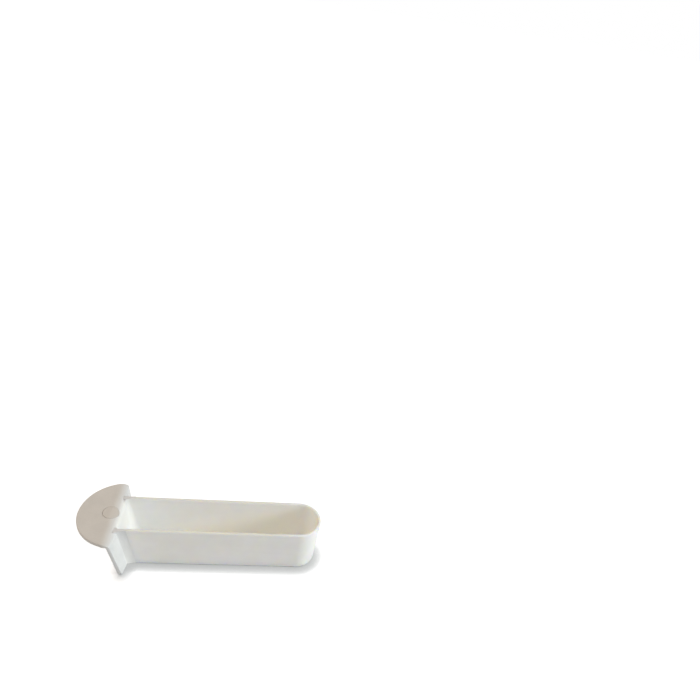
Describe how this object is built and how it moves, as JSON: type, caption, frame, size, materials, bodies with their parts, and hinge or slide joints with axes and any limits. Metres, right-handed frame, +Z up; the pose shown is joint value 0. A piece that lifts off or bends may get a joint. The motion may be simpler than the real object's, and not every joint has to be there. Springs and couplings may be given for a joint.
{
  "type": "bird medicine trough",
  "caption": "Slim open trough with a round far end, clasped at its square end by a half-disc finger plate whose wings stop it at the cage wires; for giving a cage bird medicine or treats.",
  "frame": {"origin": "middle of the whole outline in plan, on the surface that the trough stands on", "axes": "+X from the finger tab to the trough's round end, +Z up out of the trough's mouth, +Y to the left of that"},
  "size_m": [0.101, 0.0344, 0.0212],
  "materials": {
    "trough_plastic": "white moulded polypropylene, satin",
    "plate_plastic": "warm white moulded polypropylene, satin with a fine matt grain on the tab",
    "peg_plastic": "warm white moulded polypropylene, satin"
  },
  "bodies": {
    "root": {"trough": "trough_plastic", "finger_plate": "plate_plastic", "retaining_peg": "peg_plastic"}
  },
  "joints": []
}
